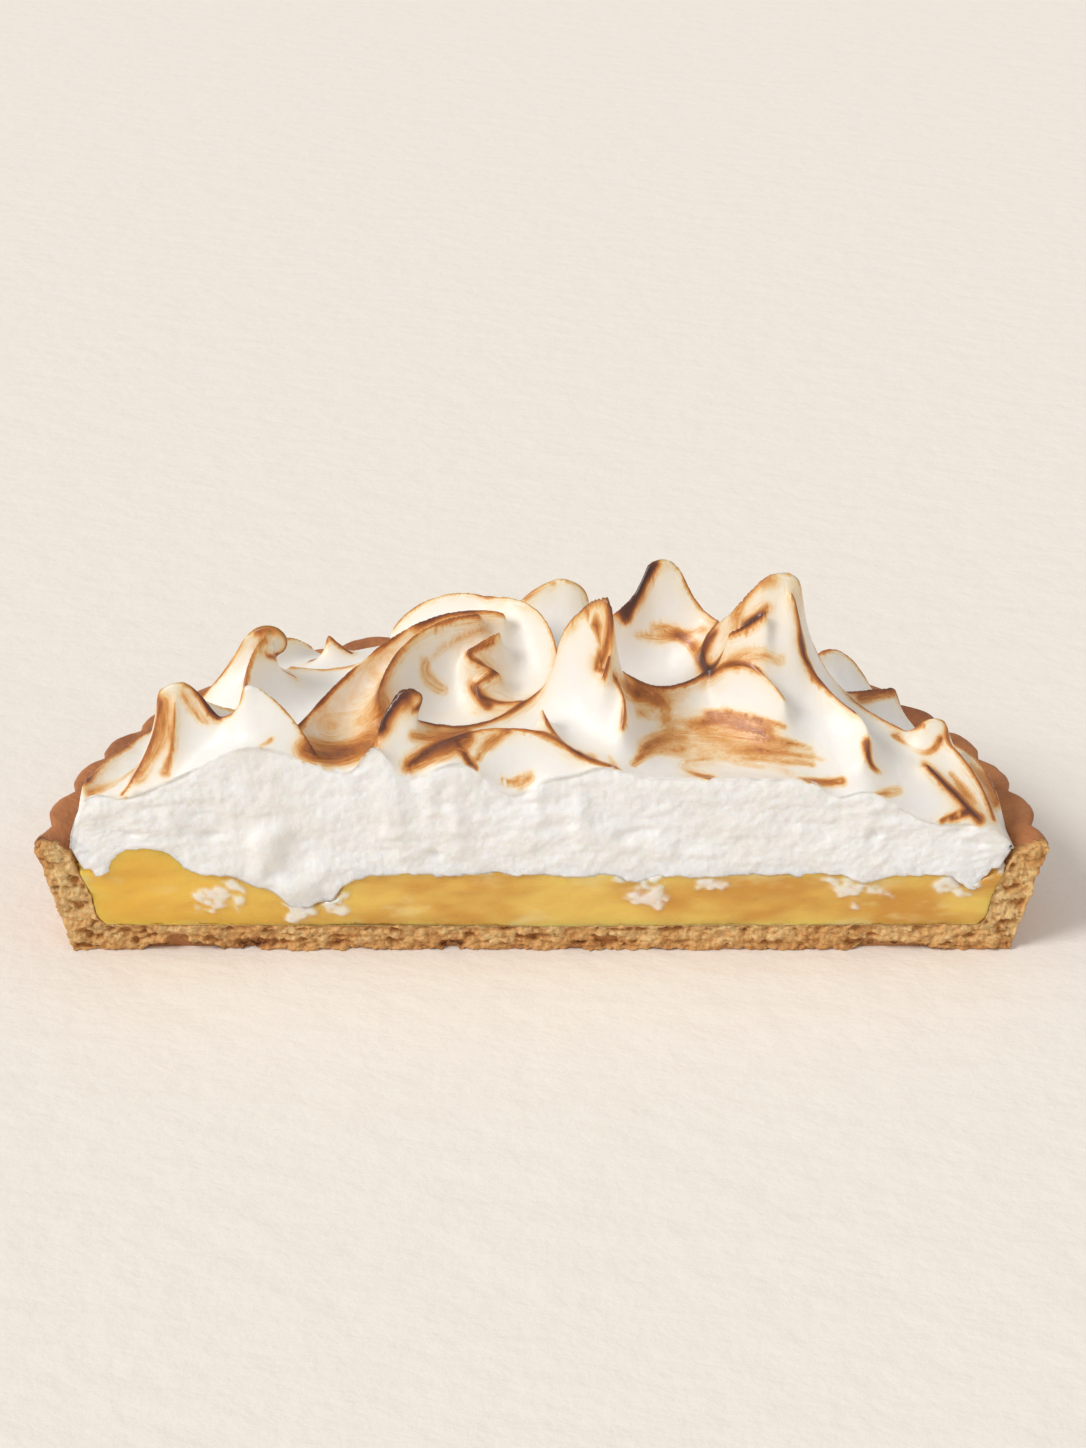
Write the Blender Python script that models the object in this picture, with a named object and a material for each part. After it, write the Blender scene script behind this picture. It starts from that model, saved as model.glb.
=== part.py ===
"""Half of a lemon meringue tart, cut along its diameter: a fluted crust, lemon curd and torched meringue.

Lengths are in millimetres, measured from the tart's centre on the cut plane, until mesh_object scales them.
"""

import math

import bmesh
import bpy

MM = 0.001

# Crust
TART_RADIUS = 121.5  # at the rim, to the crests of the flutes
BOTTOM_RADIUS = 114.5
CRUST_HEIGHT = 30.2
RIM_SLOPE = 2.4  # the rim is lower on its inner side
BASE_THICKNESS = 7.3
FLUTES = 22  # round the half tart
FLUTE_DEPTH = 2.6
STEPS_PER_FLUTE = 6

# Curd and meringue
GAP = 0.3  # between pieces that touch
FILLING_RADIUS = 111.2  # where the curd meets the crust at its top
FILLING_BOTTOM_RADIUS = 107.7
CURD_TOP = 22.8
CUT_BLEND = 15.0  # how far behind the cut the curd's uneven top runs out
GRID_HALF = 36  # cells from the centre to the side, and from the cut to the back

# Meringue body, before its folds
TALLEST = 88.5  # of all the peaks, from the ground
EDGE_HEIGHT = 32.0
DOME_RISE = 17.0
DOME_REACH = 14.0
CREST_ROUND = 1.6  # half width of the rounded top of a fold
FOLD_REACH = 6.5  # how fast a fold falls away from its crest
CUT_REACH = 6.0  # how fast the lumps along the cut run out behind it

CUT_Y = -TART_RADIUS / 2

# Lumps and hollows along the cut, (x, half width, rise): of the curd's top, and of the meringue's
CURD_LUMPS = [(-96, 8, 8), (-56, 7, -9), (-59, 2.5, -4), (104, 4, -4)]
CUT_LUMPS = [(-107, 6, 7), (-68, 16, 9), (-39, 4, 8), (-20, 7, 4)]
CUT_LUMPS += [(-7, 6, -5), (15, 6, 3), (70, 5, -4), (92, 12, -8)]

# Crests of the meringue's folds: start, end, and how far the middle bows off the straight line
FOLDS = {
    "left_curl_rise": ((-98, 2, 44), (-86, 9, 70), (2, 0, 1)),
    "left_curl_tip": ((-86, 9, 70), (-77, 8, 61), (2, 0, 1)),
    "white_peak_left": ((-77, 8, 61), (-69, 7, 71), (2, 0, -2)),
    "white_peak_right": ((-68, 7, 71), (-53, 1, 55), (1, 0, 1)),
    "left_side": ((-108, 5, 44), (-86, 55, 40), (-4, 0, 0)),
    "back_curl_rise": ((-84, 38, 50), (-67, 40, 70), (-1, 0, 2)),
    "back_curl_tip": ((-67, 40, 70), (-60, 40, 61), (3, 0, 2)),
    "back_curl_tail": ((-63, 46, 55), (-43, 46, 57), (0, 4, -4)),
    "back_knob": ((-61, 71, 43), (-51, 71, 45), (0, 0, 7)),
    "swirl_low": ((-58, 10, 57), (-10, 42, 72), (0, 11, 5)),
    "swirl_high_left": ((-38, 61, 58), (-14, 53, 71), (0, 1, 4)),
    "swirl_high_right": ((-14, 53, 71), (4, 33, 63), (3, 1, 4)),
    "swirl_front": ((-39, 13, 63), (-15, 39, 73), (-5, 4, 3)),
    "small_hook": ((-38, 4, 60), (-26, 9, 62), (0, 0, 8)),
    "hook_tail": ((-29, 8, 58), (4, 31, 61), (0, -2, -5)),
    "front_ridge": ((-31, 2, 52), (9, 3, 54), (0, 5, 6)),
    "back_wave": ((-6, 62, 65), (12, 61, 66), (1, 0, 7)),
    "middle_peak_left": ((5, 27, 66), (15, 22, 87), (-4, 0, 2)),
    "middle_peak_right": ((16, 22, 87), (14, 22, 69), (2, 0, 0)),
    "middle_foot": ((13, 19, 68), (19, 8, 58), (3, 1, 2)),
    "hanging_crest": ((14, 23, 71), (48, 34, 68), (0, 0, -11)),
    "back_peak_left": ((15, 47, 68), (30, 55, 81), (-1, 0, -1)),
    "back_peak_right": ((30, 55, 81), (44, 46, 68), (0, 1, -3)),
    "tall_peak_left": ((44, 44, 68), (57, 31, TALLEST), (-2, -2, 1)),
    "tall_peak_right": ((57, 31, TALLEST), (76, 41, 50), (-2, 0, 0)),
    "tall_peak_front": ((60, 28, 84), (76, 14, 56), (-4, 1, -2)),
    "tall_peak_arch": ((41, 31, 60), (58, 16, 62), (0, 1, 5)),
    "right_knob": ((76, 41, 50), (89, 47, 48), (0, 0, 0)),
    "right_saddle": ((76, 38, 51), (90, 22, 49), (0, 0, -1)),
    "right_peak_left": ((90, 22, 49), (95, 18, 56), (-1, 0, -1)),
    "right_peak_right": ((95, 18, 56), (108, 3, 36), (1, 0, 1)),
    "right_side": ((98, 30, 43), (110, 9, 38), (2, 1, 2)),
}
STEPS_PER_FOLD = 6

# Low peaks round the back, (degrees from +X, distance from the centre, height)
BACK_PEAKS = [(42, 92, 48), (62, 88, 52), (80, 95, 46), (98, 86, 51), (118, 96, 42), (146, 92, 44)]


def remove_all():
    for obj in list(bpy.data.objects):
        bpy.data.objects.remove(obj, do_unlink=True)


def material(name, color, roughness):
    made = bpy.data.materials.new(name)
    made.use_nodes = True
    shader = made.node_tree.nodes["Principled BSDF"]
    shader.inputs["Base Color"].default_value = (*color, 1.0)
    shader.inputs["Roughness"].default_value = roughness
    shader.inputs["Metallic"].default_value = 0.0
    return made


def mesh_object(name, bm, finish):
    """Turns millimetres into metres and puts the model's origin under the middle of it."""
    bmesh.ops.scale(bm, vec=(MM, MM, MM), verts=bm.verts)
    bmesh.ops.recalc_face_normals(bm, faces=bm.faces)
    mesh = bpy.data.meshes.new(name)
    bm.to_mesh(mesh)
    bm.free()
    mesh.materials.append(finish)
    mesh.shade_smooth()
    mesh.set_sharp_from_angle(angle=math.radians(50))
    obj = bpy.data.objects.new(name, mesh)
    obj.location = (0.0, CUT_Y * MM, 0.0)
    bpy.context.scene.collection.objects.link(obj)
    return obj


def lumps_at(lumps, x):
    """Rounded lumps and hollows added together."""
    return sum(rise * math.exp(-(((x - middle) / half) ** 2)) for middle, half, rise in lumps)


def crust_section():
    """(radius, height, share of the flute depth) round one side of the crust, from axis to axis."""
    inner_top = CRUST_HEIGHT - RIM_SLOPE
    inner_lean = (FILLING_RADIUS - FILLING_BOTTOM_RADIUS) / (CURD_TOP - BASE_THICKNESS)
    inner_foot = FILLING_BOTTOM_RADIUS + GAP
    return [
        (0, 0, 0),
        (BOTTOM_RADIUS, 0, 0.8),
        (BOTTOM_RADIUS + 2.0, 5.0, 0.9),
        (TART_RADIUS - 1.6, 23.0, 1.0),
        (TART_RADIUS, CRUST_HEIGHT - 1.4, 1.0),
        (TART_RADIUS - 1.1, CRUST_HEIGHT, 0.9),
        (TART_RADIUS - 7.5, inner_top + 0.6, 0.3),
        (inner_foot + inner_lean * (inner_top - BASE_THICKNESS), inner_top - 0.6, 0.0),
        (inner_foot, BASE_THICKNESS, 0.0),
        (0, BASE_THICKNESS, 0),
    ]


def make_crust(finish):
    """The section turned through half a circle, with rounded flutes that meet in sharp grooves."""
    section = crust_section()
    stations = FLUTES * STEPS_PER_FLUTE
    bm = bmesh.new()
    axis = [bm.verts.new((0, 0, section[0][1])), bm.verts.new((0, 0, section[-1][1]))]
    rings = []
    for step in range(stations + 1):
        angle = math.pi * step / stations
        groove = 1 - abs(math.cos(FLUTES * angle))
        ring = [axis[0]]
        for radius, height, share in section[1:-1]:
            out = radius - FLUTE_DEPTH * share * groove
            # The sine of a half turn isn't exactly nothing, and the cut has to be flat
            depth = 0.0 if step in (0, stations) else out * math.sin(angle)
            ring.append(bm.verts.new((out * math.cos(angle), depth, height)))
        rings.append(ring + [axis[1]])
    for ring, following in zip(rings, rings[1:]):
        for k in range(len(section) - 1):
            corners = [ring[k], following[k], following[k + 1], ring[k + 1]]
            bm.faces.new(list(dict.fromkeys(corners)))
    bm.faces.new(rings[0])
    bm.faces.new(rings[-1])
    return mesh_object("crust", bm, finish)


def half_disc(radius):
    """Rows of (x, y) that fill a half disc with four-sided cells, by the elliptical map of a rectangle."""
    rows = []
    for j in range(GRID_HALF + 1):
        v = j / GRID_HALF
        row = []
        for i in range(-GRID_HALF, GRID_HALF + 1):
            u = i / GRID_HALF
            row.append((radius * u * math.sqrt(1 - v * v / 2), radius * v * math.sqrt(1 - u * u / 2)))
        rows.append(row)
    return rows


def layer(name, bottom, top, finish):
    """A closed solid between two matching grids of points, its flat stretches made single faces."""
    bm = bmesh.new()
    sheets = [[[bm.verts.new(point) for point in row] for row in rows] for rows in (bottom, top)]
    for low, high in zip(*[zip(sheet, sheet[1:]) for sheet in sheets]):
        for i in range(len(low[0]) - 1):
            for near, far in (low, high):
                bm.faces.new([near[i], near[i + 1], far[i + 1], far[i]])
    rims = [edge_loop(sheet) for sheet in sheets]
    count = len(rims[0])
    for k in range(count):
        after = (k + 1) % count
        bm.faces.new([rims[0][k], rims[0][after], rims[1][after], rims[1][k]])
    bmesh.ops.dissolve_limit(bm, angle_limit=math.radians(0.2), verts=bm.verts, edges=bm.edges)
    bmesh.ops.triangulate(bm, faces=bm.faces)
    return mesh_object(name, bm, finish)


def edge_loop(rows):
    return rows[0] + [row[-1] for row in rows[1:]] + rows[-1][-2::-1] + [row[0] for row in rows[-2:0:-1]]


def curd_top(x, y):
    """Level, except near the cut."""
    return CURD_TOP + max(0.0, 1 - y / CUT_BLEND) * lumps_at(CURD_LUMPS, x)


def make_curd(finish):
    top = [[(x, y, curd_top(x, y)) for x, y in row] for row in half_disc(FILLING_RADIUS)]
    bottom = [[(x, y, BASE_THICKNESS + GAP) for x, y in row] for row in half_disc(FILLING_BOTTOM_RADIUS)]
    return layer("lemon_curd", bottom, top, finish)


def nearest_on_fold(x, y, crest):
    """(distance in plan, height) of the fold's nearest point, for each of its straight pieces."""
    for (x0, y0, z0), (x1, y1, z1) in zip(crest, crest[1:]):
        run = (x1 - x0) ** 2 + (y1 - y0) ** 2
        share = min(1.0, max(0.0, ((x - x0) * (x1 - x0) + (y - y0) * (y1 - y0)) / run))
        away = math.hypot(x - x0 - share * (x1 - x0), y - y0 - share * (y1 - y0))
        yield away, z0 + share * (z1 - z0)


def bend(start, end, bow):
    """Points along the parabola from start to end whose middle lies off the straight line by bow."""
    for step in range(STEPS_PER_FOLD + 1):
        t = step / STEPS_PER_FOLD
        yield tuple(a + t * (b - a) + 4 * t * (1 - t) * c for a, b, c in zip(start, end, bow))


def back_peak_crests():
    """Each low peak is a short crest across the tart's radius."""
    for degrees, out, height in BACK_PEAKS:
        angle = math.radians(degrees)
        x, y = out * math.cos(angle), out * math.sin(angle)
        side = (-7 * math.sin(angle), 7 * math.cos(angle))
        yield [(x - side[0], y - side[1], height - 5), (x, y, height), (x + side[0], y + side[1], height - 6)]


def meringue_top(x, y, crests):
    """A dome with the highest of the folds over it: each falls away from its crest in a hollow curve."""
    inward = max(0.0, FILLING_RADIUS - math.hypot(x, y))
    dome = EDGE_HEIGHT + DOME_RISE * (1 - math.exp(-inward / DOME_REACH))
    dome += lumps_at(CUT_LUMPS, x) * math.exp(-y / CUT_REACH)
    height = dome
    for crest in crests:
        for away, crest_height in nearest_on_fold(x, y, crest):
            fall = math.exp(-max(0.0, away - CREST_ROUND) / FOLD_REACH)
            height = max(height, dome + (crest_height - dome) * fall)
    return height


def make_meringue(finish):
    crests = [list(bend(*fold)) for fold in FOLDS.values()] + list(back_peak_crests())
    plan = half_disc(FILLING_RADIUS)
    top = [[(x, y, meringue_top(x, y, crests)) for x, y in row] for row in plan]
    bottom = [[(x, y, curd_top(x, y) + GAP) for x, y in row] for row in plan]
    return layer("meringue", bottom, top, finish)


remove_all()
make_crust(material("baked_pastry", (0.48, 0.25, 0.09), 0.75))
make_curd(material("lemon_curd", (0.80, 0.50, 0.11), 0.25))
make_meringue(material("meringue", (0.90, 0.86, 0.80), 0.45))
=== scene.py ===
import itertools
import math

import bpy
import numpy as np
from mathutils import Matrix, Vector


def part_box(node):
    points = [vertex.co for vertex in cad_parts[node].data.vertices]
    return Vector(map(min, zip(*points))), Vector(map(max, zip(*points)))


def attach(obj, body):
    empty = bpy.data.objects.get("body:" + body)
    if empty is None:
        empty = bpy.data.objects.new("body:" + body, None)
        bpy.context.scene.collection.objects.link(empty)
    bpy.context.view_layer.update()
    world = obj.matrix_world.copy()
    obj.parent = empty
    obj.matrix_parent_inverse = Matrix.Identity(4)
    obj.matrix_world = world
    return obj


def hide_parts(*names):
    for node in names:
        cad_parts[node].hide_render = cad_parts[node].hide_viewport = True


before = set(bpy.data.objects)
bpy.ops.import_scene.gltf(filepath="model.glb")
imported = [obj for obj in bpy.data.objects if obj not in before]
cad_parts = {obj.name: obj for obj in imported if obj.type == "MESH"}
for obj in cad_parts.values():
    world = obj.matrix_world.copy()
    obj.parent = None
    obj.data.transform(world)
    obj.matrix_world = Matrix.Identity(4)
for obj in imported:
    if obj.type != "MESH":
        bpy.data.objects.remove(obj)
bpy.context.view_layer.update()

# Shapes are worked out in millimetres from the tart's centre on the cut, x to the right, y into the tart
mm = 0.001
weldGap = 0.000002    # metres
crustLow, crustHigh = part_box("crust")
cutPlane = crustLow.y
tartRadius = crustHigh.x / mm
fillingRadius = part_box("meringue")[1].x / mm
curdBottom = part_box("lemon_curd")[0].z / mm


def selectNothing():
    bpy.ops.object.select_all(action="DESELECT")


def pickOnly(piece):
    selectNothing()
    bpy.context.view_layer.objects.active = piece
    piece.select_set(True)


def addGrid(name, across, along):
    selectNothing()
    bpy.ops.mesh.primitive_grid_add(x_subdivisions=across, y_subdivisions=along, size=2.0)
    grid = bpy.context.object
    grid.name = grid.data.name = name
    return grid


def writePoints(piece, points):
    # millimetres in, metres in the mesh
    placed = np.asarray(points, float).reshape(-1, 3) * mm
    placed[:, 1] += cutPlane
    piece.data.vertices.foreach_set("co", placed.astype(np.float32).ravel())
    piece.data.update()


def readPoints(piece):
    points = np.empty(len(piece.data.vertices) * 3, np.float32)
    piece.data.vertices.foreach_get("co", points)
    points = points.reshape(-1, 3).astype(float)
    points[:, 1] -= cutPlane
    return points / mm


def readNormals(piece):
    normals = np.empty(len(piece.data.vertices) * 3, np.float32)
    piece.data.vertex_normals.foreach_get("vector", normals)
    return normals.reshape(-1, 3).astype(float)


def storeValue(piece, name, values, kind="FLOAT", field="value"):
    layer = piece.data.attributes.new(name, kind, "POINT")
    layer.data.foreach_set(field, np.asarray(values, np.float32).ravel())


def pickOpenEdges(weld=False):
    # edit mode, with the open edges of the active piece picked
    bpy.ops.object.mode_set(mode="EDIT")
    if weld:
        bpy.ops.mesh.select_all(action="SELECT")
        bpy.ops.mesh.remove_doubles(threshold=weldGap)
    bpy.ops.mesh.select_mode(type="EDGE")
    bpy.ops.mesh.select_all(action="DESELECT")
    bpy.ops.mesh.select_non_manifold()


def closeOver():
    # one face over the picked edges, every face turned outward, and back to object mode
    bpy.ops.mesh.edge_face_add()
    bpy.ops.mesh.select_all(action="SELECT")
    bpy.ops.mesh.normals_make_consistent(inside=False)
    bpy.ops.object.mode_set(mode="OBJECT")


def finishPiece(piece, finish, node):
    pickOnly(piece)
    bpy.ops.object.shade_smooth()
    piece.data.materials.clear()
    piece.data.materials.append(finish)
    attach(piece, "root")
    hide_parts(node)


def softNoise(points, size, seed):
    # smooth lumps between -1 and 1, about size apart
    table = np.random.default_rng(seed).uniform(-1, 1, 4096)
    scaled = np.asarray(points, float) / np.asarray(size, float)
    cell = np.floor(scaled).astype(np.int64)
    part = scaled - cell
    part = part * part * (3 - 2 * part)
    strides = np.array([73856093, 19349663, 83492791])[:scaled.shape[1]]
    total = np.zeros(len(scaled))
    for corner in itertools.product((0, 1), repeat=scaled.shape[1]):
        key = (cell + corner) * strides
        mixed = np.bitwise_xor.reduce(key, axis=1) % 4096
        share = np.where(corner, part, 1 - part).prod(axis=1)
        total += share * table[mixed]
    return total


def layeredNoise(points, size, seed, layers=3):
    total, weight = 0.0, 0.0
    for layer in range(layers):
        part = 2 ** layer
        total = total + softNoise(points, np.asarray(size) / part, seed + layer) / part
        weight += 1 / part
    return total / weight


def smoothPath(points, step):
    # a smooth line through the points, read every step, and how far along each place is
    given = np.array(points, float)
    ends = np.vstack([2 * given[0] - given[1], given, 2 * given[-1] - given[-2]])
    pieces = []
    for a, b, c, d in zip(ends, ends[1:], ends[2:], ends[3:]):
        count = max(3, int(np.linalg.norm(c - b) / step * 2))
        t = np.linspace(0, 1, count, endpoint=False)[:, None]
        pieces.append(b + 0.5 * t * (c - a + t * (2 * a - 5 * b + 4 * c - d + t * (3 * (b - c) + d - a))))
    dense = np.vstack(pieces + [given[-1:]])
    length = np.concatenate([[0], np.cumsum(np.linalg.norm(np.diff(dense, axis=0), axis=1))])
    even = np.linspace(0, length[-1], max(4, int(length[-1] / step) + 1))
    return np.stack([np.interp(even, length, dense[:, k]) for k in range(dense.shape[1])], 1), even


def ease(values, low, high):
    t = np.clip((values - low) / (high - low), 0, 1)
    return t * t * (3 - 2 * t)


class Wire:
    def __init__(self, finish, socket):
        self.finish = finish
        self.socket = socket

    def maths(self, operation, *others):
        sockets = dict(enumerate([self, *others]))
        node = self.finish.add("ShaderNodeMath", {"operation": operation}, sockets)
        return Wire(self.finish, node.outputs[0])

    def __add__(self, other):
        return self.maths("ADD", other)

    def __mul__(self, other):
        return self.maths("MULTIPLY", other)

    def __sub__(self, other):
        return self.maths("SUBTRACT", other)

    def __rsub__(self, other):
        return self.maths("MULTIPLY", -1.0).maths("ADD", other)

    __radd__ = __add__

    def limited(self):
        node = self.finish.add("ShaderNodeClamp", {}, {"Value": self})
        return Wire(self.finish, node.outputs[0])

    def between(self, low, high):
        sockets = {"Value": self, "From Min": low, "From Max": high}
        node = self.finish.add("ShaderNodeMapRange", {"interpolation_type": "SMOOTHSTEP"}, sockets)
        return Wire(self.finish, node.outputs[0])


class Finish:
    def __init__(self, name):
        self.material = bpy.data.materials.new(name)
        self.material.use_nodes = True
        self.tree = self.material.node_tree
        self.surface = self.tree.nodes["Principled BSDF"]
        self.place = Wire(self, self.add("ShaderNodeTexCoord", {}, {}).outputs["Object"])

    def add(self, kind, settings, sockets):
        node = self.tree.nodes.new(kind)
        for key, value in settings.items():
            setattr(node, key, value)
        self.feed(node, sockets)
        return node

    def feed(self, node, sockets):
        for key, value in sockets.items():
            if isinstance(value, Wire):
                self.tree.links.new(value.socket, node.inputs[key])
            else:
                node.inputs[key].default_value = value

    def stored(self, name, output="Fac"):
        node = self.add("ShaderNodeAttribute", {"attribute_name": name}, {})
        return Wire(self, node.outputs[output])

    def axis(self, number):
        return Wire(self, self.add("ShaderNodeSeparateXYZ", {}, {0: self.place}).outputs[number])

    def noise(self, scale, detail, roughness, where=None):
        sockets = {"Vector": where or self.place, "Scale": scale, "Detail": detail, "Roughness": roughness}
        return Wire(self, self.add("ShaderNodeTexNoise", {}, sockets).outputs["Fac"])

    def cells(self, scale):
        sockets = {"Vector": self.place, "Scale": scale}
        return Wire(self, self.add("ShaderNodeTexVoronoi", {}, sockets).outputs["Distance"])

    def stretched(self, scale, turned=0.0):
        sockets = {"Vector": self.place, "Scale": scale, "Rotation": (0, 0, turned)}
        return Wire(self, self.add("ShaderNodeMapping", {}, sockets).outputs[0])

    def ramp(self, amount, *stops):
        # each stop: its place from 0 to 1, then its colour as in tint
        node = self.add("ShaderNodeValToRGB", {}, {"Fac": amount})
        elements = node.color_ramp.elements
        while len(elements) < len(stops):
            elements.new(0.5)
        for element, (position, *color) in zip(elements, stops):
            element.position = position
            element.color = tint(*color)
        return Wire(self, node.outputs["Color"])

    def blend(self, amount, first, second):
        # the colours sit in sockets 6 and 7 of the node, and the mixed one comes out of socket 2
        node = self.add("ShaderNodeMix", {"data_type": "RGBA"}, {0: amount, 6: first, 7: second})
        return Wire(self, node.outputs[2])

    def relief(self, height, distance, strength):
        sockets = {"Height": height, "Distance": distance, "Strength": strength}
        return Wire(self, self.add("ShaderNodeBump", {}, sockets).outputs["Normal"])

    def drive(self, **sockets):
        self.feed(self.surface, {key.replace("_", " "): value for key, value in sockets.items()})


def tint(red, green, blue):
    # a colour as a paint shop gives it, 0 to 255, made linear, and opaque
    return (*(((c / 255 + 0.055) / 1.055) ** 2.4 for c in (red, green, blue)), 1.0)


def bend(start, end, bow=0, count=9):
    # a line whose middle bows off the straight between its ends
    start, end, bow = (np.array(place, float) for place in (start, end, bow))
    t = np.linspace(0, 1, count)[:, None]
    return start + t * (end - start) + 4 * t * (1 - t) * bow


def loop(centre, radius, lastRadius, fromAngle, toAngle, drift=0.0):
    # a curl in the upright plane along the cut, tightening from radius to lastRadius, in degrees from +x
    angles = np.radians(np.linspace(fromAngle, toAngle, max(5, int(abs(toAngle - fromAngle) / 20))))
    t = np.linspace(0, 1, len(angles))
    out = radius + (lastRadius - radius) * t
    x, y, z = centre
    return np.column_stack([x + out * np.cos(angles), y + drift * t, z + out * np.sin(angles)])


def painted(route, burn, width, streaky, spread=0.3, halo=1.1):
    # the torch's mark along a route; spread: how much a step along the flame counts, against one across it
    return {"route": route, "mark": (burn, width, streaky, spread, halo)}


def fold(*lines, reach=6.0, burn=0.8, line=0.9, halo=2.2, curl=False):
    # a crest of the meringue: its lines joined, how far it draws the skin up, and how the torch marked it
    return {"reach": reach, "curl": curl, **painted(np.vstack(lines), burn, line, 0.35, 1.0, halo)}


meringue = {
    "half": 240,               # grid cells from the middle to the side
    "rimHeight": 29.5,
    "dome": 15.5,              # how far the middle stands above the rim, without its folds
    "domeReach": 13.0,
    "reach": 7.0, "rimReach": 6.0,    # how soon the skin sinks to the dome: between folds, from the rim
    "reachEase": 12.0,         # how soon a fold's own reach gives way to that
    "reachSweeps": 60, "heightSweeps": 90, "smoothing": 2,
    "share": 0.66,             # of the faces that thinning keeps
    "cutRows": 52,
    "footHeight": 23.6,        # where the foam ends against the crust
    "cutEdge": 32.0, "cutRise": 17.0, "cutRiseReach": 14.0,    # top of the cut, before its lumps
    "cutBulge": 1.5,           # how far the cut foam stands out over the crust at both ends
    "cutLean": 3.4,            # how far its foot draws in again there
    "shoulder": 106.0,         # from here out the cut's top rounds down to the crust
    # lumps and hollows along the top of the cut: x, half width, rise
    "cutLumps": [(-107, 6, 7), (-68, 16, 9), (-39, 4, 8), (-20, 7, 4), (-7, 6, -5), (15, 6, 3),
                 (70, 5, -4), (92, 12, -8)],
}
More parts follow.
